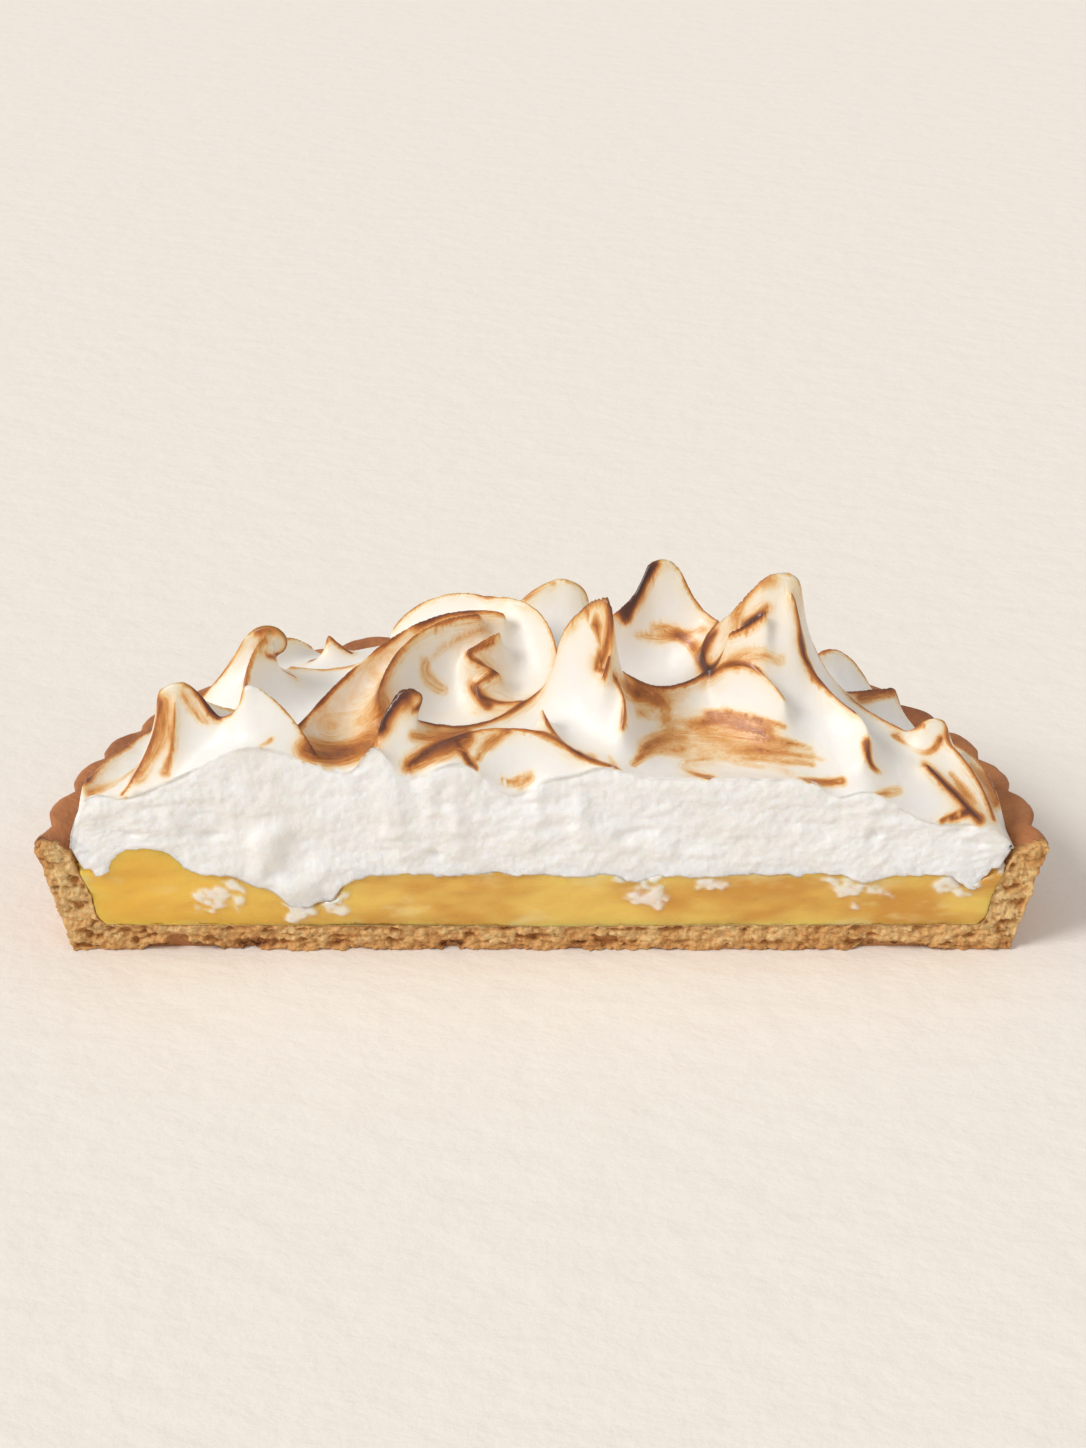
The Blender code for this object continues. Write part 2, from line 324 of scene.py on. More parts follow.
# the crests of the meringue, from left to right
folds = [
    # left curl: its outline and tip, its inner edge, and the ridge behind it
    fold(bend((-99, 1, 44), (-90, 8, 64), (2, 0, 1)), loop((-85, 10, 64.5), 5.5, 5, 165, 30),
         bend((-79, 9, 65), (-76, 8, 61), count=3), burn=0.75, halo=1.5),
    fold(bend((-88, 1, 49), (-86, 8, 66), (0.5, 0, 0)), reach=4, burn=0.5, line=0.7),
    fold(bend((-83, 14, 64), (-70, 20, 56), (0, 0, -1)), burn=0.5, halo=1.5),
    # white peak beside the bowl
    fold(bend((-76, 8, 61), (-70, 7, 70), (1.5, 0, -2)), loop((-68, 7, 69), 2, 2, 150, 30),
         bend((-66, 7, 70), (-53, 1, 55), (1, 0, 1)), reach=7, burn=0.75, line=0.7, halo=1.0),
    # tall curl behind them, its ribbon, and the tail that runs right
    fold(bend((-85, 38, 50), (-73, 39, 67), (0.5, 0, -1)), loop((-66.5, 40, 64.5), 6.3, 2.4, 155, -205),
         bend((-68, 41, 58), (-61, 42, 54), count=4), reach=8, burn=0.75, curl=True),
    fold(bend((-66, 38.5, 70), (-72, 26, 57), (-2, 0, 1)), reach=5, burn=0.85, line=1.1),
    fold(bend((-63, 46, 55), (-43, 46, 57), (0, 4, -4)), burn=0.55, halo=1.5),
    fold(bend((-61, 72, 43), (-56, 72, 51), (1, 0, -2)), bend((-55, 72, 50), (-50, 72, 45)),
         reach=4, burn=0.9),
    # big swirl: lower line, upper line round to the right, front line
    fold(bend((-58, 10, 57), (-9, 42, 72), (0, 11, 5), 15), burn=0.95, line=1.2),
    fold(bend((-38, 61, 58), (-14, 53, 71), (-1, 1, 4)), bend((-11, 51, 72), (4, 33, 63), (3, 1, 4)),
         reach=7),
    fold(bend((-39, 13, 63), (-15, 39, 73), (-5, 3, 3), 12), reach=5, burn=0.9, line=1.0, halo=3),
    # small dark hook over the cut, the line that runs from it, and the front ridge
    fold(bend((-38, 4, 60), (-35, 7, 66), (-0.5, 0, 0), 4), loop((-30.3, 8, 65.7), 4.4, 1.6, 165, -160),
         bend((-30, 9, 60), (-25, 10, 58), count=3), reach=5, burn=0.95, line=1.2, curl=True),
    fold(bend((-24, 10, 58), (4, 31, 61), (0, -2, -4), 12), burn=0.9, line=1.0),
    fold(bend((-31, 1, 52), (9, 3, 54), (0, 5, 6), 12), reach=5, line=1.0),
    # flame lines inside the swirl
    fold(bend((-10, 36, 70), (-18, 31, 67)), bend((-17, 30, 65), (-10, 29, 62)), reach=4, line=1.0, halo=3),
    fold(bend((-11, 29, 62), (-16, 26, 60)), bend((-15, 24, 58), (-5, 24, 57), (0, 0, -1)),
         reach=4, burn=0.85, halo=3),
    fold(bend((-6, 62, 65), (4, 62, 72), (0, 0, 1)), loop((6, 61, 66), 6.2, 6, 80, 0), halo=3),
    # middle peak: left side to the tip, right side, and its round foot
    fold(bend((4, 28, 66), (8, 25, 80), (-1.5, 0, 0)), bend((9, 24.5, 81), (16, 21, 87.5), (0, 0, 1))),
    fold(bend((16.5, 20.5, 86.5), (14.5, 15, 68), (1, 0, 1)), reach=4.5, burn=0.95, line=1.1),
    fold(bend((13, 19, 68), (19, 8, 58), (3, 1, 2)), burn=0.75, halo=1.5),
    fold(bend((0, 12, 62), (18, 0, 52), (-3, -1, -2)), halo=1.2),
    # crest that hangs between the middle and the tall peak
    fold(bend((14, 23, 71), (48, 34, 68), (0, 0, -11), 14), reach=7, burn=0.95, line=1.1),
    # peak behind: both sides, its hooked fold, and the fold down its right foot
    fold(bend((15, 46, 68), (26, 54, 78), (1, 0, -2)), loop((30, 55, 77), 4, 4, 150, 30),
         bend((35, 54, 77), (44, 46, 68), (0, 1, -3)), reach=8),
    fold(bend((28, 55, 80), (21, 48, 67)), reach=4, burn=1.0, line=1.4),
    fold(bend((44, 45, 68), (41, 32, 61), (-3, 0, 0)), reach=4, burn=0.85, line=1.1),
    # tall peak: outline, front edge, lobe and arch
    fold(bend((44, 44, 68), (52, 32, 85), (-1, -2, 0)), loop((57, 31, 83), 5.5, 5.5, 150, 30),
         bend((63, 33, 79), (76, 41, 50), (-2, 0, -1), 11), reach=7, burn=0.7),
    fold(bend((59, 28, 86), (63, 26, 68), (0.5, 0, 1)), bend((65, 25, 65), (75, 16, 58), (0, 0, -1)),
         reach=7, burn=0.9, line=1.1),
    fold(bend((75, 16, 58), (76, 5, 51), (2, 0, 1)), reach=7, burn=0.15),
    fold(bend((41, 31, 60), (58, 16, 62), (0, 1, 5)), reach=5),
    fold(bend((45, 31, 72), (54, 26, 81), (0, 0, -1)), reach=3, burn=0.97, line=1.3),
    # right of the tall peak, down to the crust
    fold(bend((76, 41, 50), (89, 47, 48)), bend((90, 47, 46), (91, 46, 42), count=3), reach=5, burn=0.9),
    fold(bend((76, 38, 51), (89, 23, 49), (0, 0, -1)), loop((94.5, 19, 51.5), 3.5, 3.5, 160, 20),
         bend((98, 16, 50), (108, 3, 36), (1, 0, 1)), burn=0.75),
    fold(bend((98, 30, 43), (110, 9, 38), (2, 1, 2)), reach=5),
    fold(bend((92, 10, 47), (103, 1, 38)), reach=4),
    fold(bend((-109, 4, 45), (-86, 55, 40), (-4, 0, 0), 14), reach=5, burn=0.9, line=1.2),
    # the far side, which only shows from behind
    fold(bend((-80, 64, 40), (-62, 88, 39), (0, 0, 7))),
    fold(bend((-44, 84, 40), (-18, 98, 38), (4, -8, 10))),
    fold(bend((-8, 78, 50), (26, 98, 38), (0, 2, 6)), burn=0.85),
    fold(bend((20, 74, 55), (40, 97, 37), (4, -2, 6)), burn=0.85),
    fold(bend((52, 60, 60), (60, 84, 41), (4, 0, 3))),
    fold(bend((70, 60, 50), (86, 66, 38), (0, 4, 4))),
    fold(bend((-20, 66, 60), (-8, 78, 50)), burn=0.6),
]


def lumpsAt(lumps, x):
    x = np.asarray(x, float)
    return sum(rise * np.exp(-((x - middle) / halfWidth) ** 2) for middle, halfWidth, rise in lumps)


def cutTopAt(x):
    # height of the top of the cut: it eases up from the rim, carries its lumps, and rounds down at the ends
    out = np.abs(x)
    inward = np.clip(fillingRadius - out, 0, None)
    level = meringue["cutEdge"] + meringue["cutRise"] * (1 - np.exp(-inward / meringue["cutRiseReach"]))
    level = level + lumpsAt(meringue["cutLumps"], x)
    t = np.clip((out - meringue["shoulder"]) / (fillingRadius - meringue["shoulder"]), 0, 1)
    return meringue["rimHeight"] + (level - meringue["rimHeight"]) * np.sqrt(1 - t ** 2)


def cutAcross(x):
    # the foam bulges out over the crust at both ends
    return x + np.sign(x) * meringue["cutBulge"] * ease(np.abs(x), 104, fillingRadius)


def onDisc(u, v):
    # the rectangle -1..1 by 0..1 made a half disc, so that the rim is one edge of the grid
    return u * np.sqrt(1 - v * v / 2), v * np.sqrt(1 - u * u / 2)


def offDisc(x, y):
    root = math.sqrt(2)
    same, turned = 2 + x * x - y * y, 2 - x * x + y * y

    def half(value):
        return np.sqrt(np.clip(value, 0, None)) / 2

    u = half(same + 2 * root * x) - half(same - 2 * root * x)
    v = half(turned + 2 * root * y) - half(turned - 2 * root * y)
    return u, v


def skinPegs(half):
    # where the folds hold the skin at this fineness: column, row, and x, y, height and reach there
    cell = fillingRadius / half
    for crest in folds:
        path, along = smoothPath(crest["route"], cell * 0.3)
        place = path[:, :2]
        if crest["curl"]:
            place = path[0, :2] + (along / along[-1])[:, None] * (path[-1, :2] - path[0, :2])
        u, v = offDisc(place[:, 0] / fillingRadius, place[:, 1] / fillingRadius)
        column = np.clip(np.round((u + 1) * half).astype(int), 0, 2 * half)
        row = np.clip(np.round(v * half).astype(int), 0, half)
        yield column, row, np.column_stack([path, np.full(len(path), crest["reach"])])


def meanOfNeighbours(field):
    padded = np.pad(field, 1, mode="edge")
    return (padded[2:, 1:-1] + padded[:-2, 1:-1] + padded[1:-1, 2:] + padded[1:-1, :-2]) / 4


def finer(field, half):
    # the same field on a grid of this fineness
    columns, rows = field.shape[:2]
    i, j = np.linspace(0, columns - 1, 2 * half + 1), np.linspace(0, rows - 1, half + 1)
    i0, j0 = np.clip(i.astype(int), 0, columns - 2), np.clip(j.astype(int), 0, rows - 2)
    a, b = (i - i0)[:, None, None], (j - j0)[None, :, None]
    near = field[i0][:, j0] * (1 - a) + field[i0 + 1][:, j0] * a
    far = field[i0][:, j0 + 1] * (1 - a) + field[i0 + 1][:, j0 + 1] * a
    return near * (1 - b) + far * b


def rimLine(angle):
    # radius and height of the meringue's edge, a little uneven, and lower against the crust than at the cut
    ring = np.column_stack([np.cos(angle) * 100, np.sin(angle) * 100])
    behind = ease(np.sin(angle), 0.02, 0.2)
    radius = fillingRadius + 1.6 + 0.6 * behind + 0.7 * layeredNoise(ring, 14, 3)
    return radius, meringue["rimHeight"] - 2 * behind + 0.9 * layeredNoise(ring, 18, 5)


def stretchSkin():
    # a skin over the half disc, pulled up along every fold and easing back to a low dome between them
    skin = None
    for coarseness in (8, 4, 2, 1):
        half = meringue["half"] // coarseness
        cell = fillingRadius / half
        u, v = np.meshgrid(np.linspace(-1, 1, 2 * half + 1), np.linspace(0, 1, half + 1), indexing="ij")
        x, y = onDisc(u, v)
        x, y = x * fillingRadius, y * fillingRadius
        inward = np.clip(fillingRadius - np.hypot(x, y), 0, None)
        low = meringue["rimHeight"] + meringue["dome"] * (1 - np.exp(-inward / meringue["domeReach"]))
        rest = np.stack([x, y, low], -1)
        place = rest[..., :2]
        if skin is None:
            offset, reach = rest * [0, 0, 1], np.full(u.shape + (1,), meringue["reach"])
        else:
            offset, reach = finer(offset, half), finer(reach, half)
        total, count = np.zeros(u.shape + (4,)), np.zeros(u.shape)
        for column, row, held in skinPegs(half):
            held[:, :2] -= place[column, row]
            np.add.at(total, (column, row), held)
            np.add.at(count, (column, row), 1)
        fixed = count > 0
        total[fixed] /= count[fixed][:, None]
        alongCut = place[:, 0, 0]
        total[:, 0] = 0
        total[:, 0, 0] = cutAcross(alongCut) - alongCut
        total[:, 0, 2] = cutTopAt(alongCut)
        rim = (np.abs(u) > 1 - 1e-9) | (v > 1 - 1e-9)
        rim[:, 0] = False
        angle = np.arctan2(y[rim], x[rim])
        radius, height = rimLine(angle)
        total[rim, 0] = radius * np.cos(angle) - x[rim]
        total[rim, 1] = radius * np.sin(angle) - y[rim]
        total[rim, 2] = height
        rim[:, 0] = True
        total[rim, 3] = meringue["rimReach"]
        fixed |= rim
        offset[fixed] = total[fixed][:, :3]
        reach[fixed] = total[fixed][:, 3:]
        free = ~fixed
        pull = (cell / meringue["reachEase"]) ** 2
        for _ in range(meringue["reachSweeps"]):
            eased = (meanOfNeighbours(reach[..., 0]) + meringue["reach"] * pull) / (1 + pull)
            reach[..., 0] = np.where(free, eased, reach[..., 0])
        pull = (cell / reach[..., 0]) ** 2 / 4
        for _ in range(meringue["heightSweeps"]):
            for k, target in enumerate((0, 0, low)):
                moved = (meanOfNeighbours(offset[..., k]) + pull * target) / (1 + pull)
                offset[..., k] = np.where(free, moved, offset[..., k])
        skin = offset.copy()
        skin[..., :2] += place
    for _ in range(meringue["smoothing"]):
        soft = np.stack([meanOfNeighbours(skin[..., k]) for k in range(3)], -1)
        skin[1:-1, 1:-1] = 0.5 * skin[1:-1, 1:-1] + 0.5 * soft[1:-1, 1:-1]
    return skin


curdTop = {
    "level": 22.8,
    # the run of foam down into the curd, and the hollows beside it and to the right: x, half width, rise
    "lumps": [(-57, 8, -9), (-61, 2.5, -1.5), (-51, 2, -2), (-68, 4, -2), (24, 4, -2), (79, 4, -2),
              (104, 4, -4)],
    "swell": (-95.5, 9.0, 8.0),    # at the left, with a flatter top than a lump
}


def curdTopAt(x):
    middle, halfWidth, rise = curdTop["swell"]
    return curdTop["level"] + lumpsAt(curdTop["lumps"], x) + rise * np.exp(-((x - middle) / halfWidth) ** 4)


cutMarks = {
    # by seed: how many, half width, half height, how far out, and the box they fall in (x, then z)
    "seed": 53, "proudest": 2.2,
    "kinds": [
        (6, (1.6, 3.2), (0.8, 1.5), -1.4, (-100, 100), (27, 36)),     # pockets
        (9, (3, 6), (0.9, 1.6), -0.6, (-105, 105), (26, 42)),         # shallow drags of the knife
        (9, (2.6, 4), (2.4, 3.4), 1.3, (-68, -52), (18, 34)),         # the heap that ran down
        (8, (3, 5), (2.5, 4), 0.8, (-110, 108), (28, 40)),            # soft lumps
        (5, (2.2, 3.2), (6, 9), 0.9, (-70, 40), (36, 46)),            # standing folds
    ],
}


def placeMarks():
    rng = np.random.default_rng(cutMarks["seed"])
    for count, wide, high, amount, across, up in cutMarks["kinds"]:
        for _ in range(count):
            yield rng.uniform(*across), rng.uniform(*up), rng.uniform(*wide), rng.uniform(*high), amount


def foamDepth(x, z, top):
    # how far the cut foam stands out: lumps, slanting drags from the knife, and the marks above
    flat = np.column_stack([x, z])
    slanted = np.column_stack([x + 0.25 * z, z - 0.06 * x])
    depth = 0.75 * layeredNoise(flat, (13, 8), 11) + 0.3 * layeredNoise(slanted, (7, 2.4), 21)
    depth += 0.36 * layeredNoise(flat, (2.8, 2.0), 31) + 0.14 * softNoise(flat, 0.9, 41)
    bentX, bentZ = x + 1.1 * layeredNoise(flat, 5, 45), z + 0.7 * layeredNoise(flat, 4, 47)
    for px, pz, wide, high, amount in placeMarks():
        depth += amount * np.exp(-((bentX - px) / wide) ** 2 - ((bentZ - pz) / high) ** 2)
    depth -= 0.7 * np.exp(-np.clip(top - z, 0, None) / 1.2)  # rounds the edge over
    return cutMarks["proudest"] * np.tanh(depth / cutMarks["proudest"])


def makeMeringue(finish):
    skin = stretchSkin()
    half = meringue["half"]
    points = skin.transpose(1, 0, 2).reshape(-1, 3)
    print("meringue skin stretched over", len(folds), "folds")

    foam = addGrid("meringueFoam", 2 * half, half)
    u, v = np.meshgrid(np.linspace(-1, 1, 2 * half + 1), np.linspace(0, 1, half + 1), indexing="ij")
    inner = (ease(v, 0, 0.02) * (1 - ease(np.maximum(np.abs(u), v), 0.98, 1))).T.ravel()
    lumps = 0.5 * layeredNoise(points, 9, 51) + 0.22 * layeredNoise(points, 2.6, 61)
    points[:, 2] += inner * lumps * 0.8
    writePoints(foam, points)

    rows = meringue["cutRows"]
    face = addGrid("meringueCut", 2 * half, rows)
    edge = points[:2 * half + 1]
    lower = curdTopAt(edge[:, 0]) + 0.9 * layeredNoise(edge[:, :2], 3.6, 71) - 0.9
    lower[np.abs(edge[:, 0]) > fillingRadius - 1] = meringue["footHeight"]
    t = np.linspace(0, 1, rows + 1)[:, None]
    z = lower + (edge[:, 2] - lower) * t
    leaning = np.clip((30 - z) / 8, 0, 1) * ease(np.abs(edge[:, 0]), 103, 112) * meringue["cutLean"]
    x = edge[:, 0] - np.sign(edge[:, 0]) * leaning
    rim = edge[:, 2] * np.ones_like(t)
    depth = foamDepth(x.ravel(), z.ravel(), rim.ravel()).reshape(z.shape)
    depth[-1] = 0
    writePoints(face, np.stack([x, -depth, z], -1))

    pickOnly(foam)
    face.select_set(True)
    bpy.ops.object.join()
    pickOpenEdges(weld=True)
    bpy.ops.mesh.extrude_region_move()
    bpy.ops.transform.resize(value=(0.93, 0.93, 0), center_override=(0, cutPlane + 0.05, 0.0245))
    closeOver()
    pickOnly(foam)
    thinning = foam.modifiers.new("thinning", "DECIMATE")
    thinning.ratio = meringue["share"]
    bpy.ops.object.modifier_apply(modifier=thinning.name)
    print("meringue closed and thinned:", len(foam.data.polygons), "faces")

    paintScorch(foam)
    finishPiece(foam, finish, "meringue")
    return foam


def torch(start, end, bow, *mark):
    return painted(bend(start, end, bow), *mark)


flame = np.array([0.0, -0.875, 0.483])  # the way to the torch, which came from the front and above
strokes = [
    # left curl and the band that runs back from it
    torch((-95, 3, 48), (-89, 9, 64), (2, 0, 0), 0.55, 2.4, 1.0),
    torch((-89, 2, 49), (-87, 6, 58), (1, 0, 1), 0.5, 1.0, 0.6),
    torch((-81, 9, 69), (-77, 8, 62), (0, 0, -1), 0.95, 1.4, 0.2),
    torch((-84, 8, 67), (-79, 7, 60), (0, 0, -1), 0.45, 1.0, 0.6),
    torch((-108, 6, 45), (-90, 22, 46), (0, 0, 2), 0.9, 1.0, 0.3),
    torch((-107, 3, 43), (-93, 12, 46), (0, 0, 1), 0.6, 1.8, 0.9),
    torch((-98, 0, 43), (-88, 0, 43), (0, 0, -2), 0.5, 0.8, 1.0),
    torch((-67, 2, 55), (-63, 2, 58), 0, 0.5, 0.9, 0.5),
    # bowl
    torch((-55, 1, 56), (-41, 2, 57), (0, 0, -2), 0.78, 4.4, 0.5, 0.15),
    torch((-50, 6, 60), (-39, 8, 64), (0, 0, -1), 0.55, 5.0, 0.8),
    torch((-46, 12, 63), (-37, 24, 69), 0, 0.6, 2.6, 1.0),
    torch((-42, 14, 64), (-28, 38, 72), (0, 1, 0), 0.55, 1.5, 1.0),
    torch((-51, 10, 60), (-38, 28, 69), 0, 0.45, 1.1, 1.0),
    # swirl
    torch((-40, 13, 63), (-35, 28, 69), (-1, 0, 1), 1.0, 1.3, 0.2),
    torch((-32, 40, 70), (-12, 43, 73), (0, 0, 1), 0.95, 1.3, 0.2),
    torch((-30, 36, 71), (-17, 40, 73), (0, 0, 1), 0.4, 1.9, 1.0),
    torch((-28, 30, 64), (-24, 29, 57), (-2, 0, 0), 0.5, 1.9, 1.0, 0.08),
    torch((-26, 26, 68), (-14, 32, 72), (0, 0, 1), 0.45, 1.2, 1.0, 0.1),
    torch((-24, 14, 58), (-16, 16, 58), 0, 0.55, 1.0, 1.0, 0.1),
    torch((-12, 33, 68), (-18, 31, 66), 0, 0.7, 1.0, 0.5),
    torch((-17, 25, 60), (-13, 23, 56), 0, 0.75, 1.3, 0.6),
    # small hook and the ridge in front
    torch((-38, 4, 61), (-29, 7, 70), (-1, 0, 1), 1.0, 1.8, 0.2),
    torch((-30, 6, 57), (-18, 9, 56), (0, 0, -1), 0.7, 1.3, 0.8),
    torch((-31, 1, 52), (-18, 4, 57), 0, 0.8, 2.0, 0.7),
    torch((-20, 3, 57), (-16, 1, 51), 0, 0.9, 1.0, 0.3),
    torch((-15, 2, 53), (-8, 6, 58), (-1, 0, 0), 0.6, 1.4, 0.7),
    torch((-9, 0, 48), (-3, 0, 49), (0, 0, -1), 0.6, 1.4, 0.7),
    # middle peak
    torch((9, 23, 84), (16, 22, 86), 0, 0.75, 2.2, 0.5),
    torch((14, 22, 87), (17, 22, 83), (1, 0, 1), 0.95, 1.3, 0.2),
    torch((16, 21, 84), (14, 21, 69), (1, 0, 0), 0.95, 1.1, 0.3),
    torch((7, 22, 77), (13, 21, 78), (0, 0, 4), 0.8, 0.8, 0.3),
    torch((9, 4, 60), (12, 2, 54), 0, 0.4, 1.3, 0.9),
    torch((14, 4, 57), (17, 1, 52), 0, 0.45, 0.9, 0.8),
    # peaks behind
    torch((-4, 61, 66), (3, 60, 71), (0, 0, 2), 0.6, 1.0, 0.7),
    torch((20, 50, 68), (28, 54, 79), 0, 1.0, 1.6, 0.2),
    torch((24, 46, 63), (40, 44, 66), (0, 0, -1), 0.6, 1.5, 1.0, 0.08),
    torch((28, 46, 66), (38, 44, 62), (0, 0, 1), 0.5, 1.6, 1.0, 0.08),
    torch((34, 42, 66), (39, 38, 60), (1, 0, 0), 0.6, 1.8, 0.9, 0.1),
    torch((43, 42, 66), (40, 33, 60), (-2, 0, 0), 0.85, 1.3, 0.3),
    # under the hanging crest
    torch((18, 22, 64), (27, 20, 60), 0, 0.6, 2.2, 0.8),
    torch((24, 20, 61), (30, 17, 56), (2, 0, 1), 0.75, 2.6, 0.7),
    torch((20, 20, 62), (34, 20, 60), (0, 0, -1), 0.55, 2.4, 1.0),
    torch((24, 17, 57), (36, 18, 58), (0, 0, -1), 0.55, 1.7, 1.0),
    torch((34, 2, 51), (40, 0, 49), (-2, 0, 0), 0.85, 0.7, 0.2, 0.1),
    torch((36, 1, 52), (58, 1, 50), (0, 0, 1), 0.7, 0.7, 0.6, 0.1),
    torch((60, 1, 49), (71, 2, 47), (0, 0, -1), 0.8, 0.9, 0.4),
    torch((46, 26, 66), (57, 25, 67), (0, 0, 2), 0.4, 2.0, 1.0),
    # tall peak
    torch((46, 31, 73), (54, 27, 80), (0, 0, -1), 0.97, 1.2, 0.2),
    torch((47, 34, 75), (55, 30, 86), (-1, 0, 1), 0.45, 1.4, 0.7),
    # right side
    torch((77, 8, 54), (81, 3, 49), (-1, 0, -2), 0.85, 1.0, 0.3),
    torch((80, 41, 48), (88, 45, 48), 0, 0.75, 1.3, 0.6),
    torch((86, 22, 48), (96, 17, 50), (1, -2, -3), 0.75, 1.0, 0.5),
    torch((92, 10, 47), (104, 1, 37), 0, 0.85, 1.3, 0.6),
    torch((98, 9, 45), (103, 4, 40), 0, 0.6, 1.3, 0.8),
    torch((95, 0, 37), (101, 1, 39), 0, 0.9, 1.0, 0.2),
    torch((78, 0, 44), (85, 1, 45), 0, 0.6, 1.1, 0.7),
    torch((104, 17, 42), (109, 8, 38), (1, 0, 0), 0.6, 2.0, 0.8),
]


def fanned(seed, count, nearEnds, farEnds, burn, width):
    # strokes side by side, each between a place along one guiding line and the same place along the other
    rng = np.random.default_rng(seed)
    (a, b), (c, d) = (np.array(line, float) for line in (nearEnds, farEnds))
    for k in range(count):
        t = (k + rng.uniform(0.2, 0.8)) / count
        start, end = a + t * (b - a), c + t * (d - c)
        early, late = rng.uniform(0, 0.3), rng.uniform(0.65, 1)
        yield torch(start + early * (end - start), start + late * (end - start), (0, 0, 1.2),
                    rng.uniform(*burn), rng.uniform(*width), 1.0, 0.08)


# the belly between the middle and the tall peak, brushed by the flame
strokes += [
    *fanned(61, 11, [(24, 4, 51), (33, 22, 57)], [(70, 3, 50), (61, 15, 55)], (0.35, 0.65), (0.5, 1.2)),
    *fanned(67, 4, [(28, 5, 52), (36, 18, 57)], [(64, 3, 51), (58, 12, 55)], (0.15, 0.3), (1.6, 2.6)),
    *fanned(71, 5, [(19, 3, 50), (24, 8, 54)], [(34, 5, 53), (42, 14, 57)], (0.3, 0.55), (0.7, 1.6)),
    # the line that follows each curl round to its eye: toast along the ribbon's edge, and painted shade in
    # the crease between its turns and in the eye
    painted(loop((-66.5, 38, 64.5), 5.4, 1.6, 130, -230), 0.85, 0.7, 0.3, 0.1),
    painted(loop((-30.3, 7, 65.7), 3.7, 1.0, 120, -230), 0.85, 0.6, 0.3, 0.1),
]


def flattened(points, share):
    # the places with their depth along the flame shortened, so that a stroke reaches down into a hollow
    return points - (1 - share) * (points @ flame)[:, None] * flame


def strokeOver(points, normals, path, along, reach):
    # points within reach of a stroke: index, distance, place along it, and signed place across it
    near = np.flatnonzero(((points > path.min(0) - reach) & (points < path.max(0) + reach)).all(1))
    if not len(near):
        return near, None, None, None
    apart = ((points[near, None] - path[None]) ** 2).sum(-1)
    k = apart.argmin(1)
    distance = np.sqrt(apart[np.arange(len(near)), k])
    heading = np.gradient(path, axis=0)
    across = (np.cross(heading[k], normals[near]) * (points[near] - path[k])).sum(-1)
    return near, distance, along[k], np.sign(across) * distance


def paintScorch(foam):
    # stores how far each point is toasted, and the direction its streaks run in
    points, normals = readPoints(foam), readNormals(foam)
    toast = np.zeros(len(points))
    grain = points.copy()
    strongest = np.zeros(len(points))
    for number, stroke in enumerate(folds + strokes):
        burn, width, streaky, share, soft = stroke["mark"]
        path, along = smoothPath(stroke["route"], 0.5)
        seen, reach = flattened(points, share), width + 3 * soft + 2
        near, distance, run, across = strokeOver(seen, normals, flattened(path, share), along, reach)
        if distance is None:
            continue
        lined = np.column_stack([across / 0.75, run / 9, np.full(len(run), number * 7.3)])
        streak = 0.5 + 0.5 * layeredNoise(lined, 1.0, 101, 2)
        edge = np.column_stack([run, np.full(len(run), number * 3.1)])
        ragged = width * (1 + 0.45 * softNoise(edge, 5, 111))
        core = np.exp(-(distance / np.maximum(ragged, 0.2)) ** 2.5)
        halo = 0.45 * np.exp(-distance / soft)
        strength = burn * np.maximum(core, halo)
        strength *= 1 - streaky * 0.8 * (1 - streak) * np.where(core > 0.5, 0.8, 1)
        toast[near] = 1 - (1 - toast[near]) * (1 - np.clip(strength, 0, 1))
        stronger = strength > strongest[near]
        grain[near[stronger]] = lined[stronger]
        strongest[near] = np.maximum(strongest[near], strength)
    lap = 0.7 * softNoise(points[:, [0, 2]], 1.3, 121)  # the skin ends raggedly over the cut
    onCut = ease(cutTopAt(points[:, 0]) - points[:, 2] + lap, 0.2, 0.9) * (1 - ease(points[:, 1], 0.8, 2.0))
    toast *= 1 - onCut
    storeValue(foam, "toast", toast)
    storeValue(foam, "onCut", onCut)
    storeValue(foam, "grain", grain, "FLOAT_VECTOR", "vector")
    print("meringue scorched with", len(folds + strokes), "strokes")


def meringueFinish():
    finish = Finish("torchedMeringue")
    toast, onCut, grain = finish.stored("toast"), finish.stored("onCut"), finish.stored("grain", "Vector")
    streaks = finish.noise(1.6, 3, 0.6, where=grain)
    mottle = finish.noise(260, 3, 0.6)
    middle = toast * (1.0 - toast) * 4.0
    burnt = (toast + middle * (streaks - 0.5) * 0.55 + middle * (mottle - 0.5) * 0.25).limited()
    brown = finish.ramp(
        burnt,
        (0.0, 241, 238, 234), (0.13, 244, 234, 217), (0.27, 238, 206, 158), (0.42, 222, 162, 92),
        (0.58, 192, 118, 50), (0.74, 148, 84, 38), (0.88, 104, 55, 32), (1.0, 66, 34, 22),
    )
    clouds = finish.noise(70, 3, 0.6).between(0.35, 0.75)
    cream = finish.blend(clouds, tint(250, 249, 247), tint(243, 240, 235))
    pores = finish.noise(900, 3, 0.65) * (0.35 + onCut)
    finish.drive(
        Base_Color=finish.blend(onCut, brown, cream),
        Roughness=(0.42 - burnt * 0.12) - onCut * 0.04,
        Normal=finish.relief(pores + streaks * 0.3 * middle, 0.00035, 0.5),
        Subsurface_Weight=0.35, Subsurface_Scale=0.004, Subsurface_Radius=(1.0, 0.8, 0.6),
        Coat_Weight=burnt * 0.25, Coat_Roughness=0.25,
    )
    return finish.material


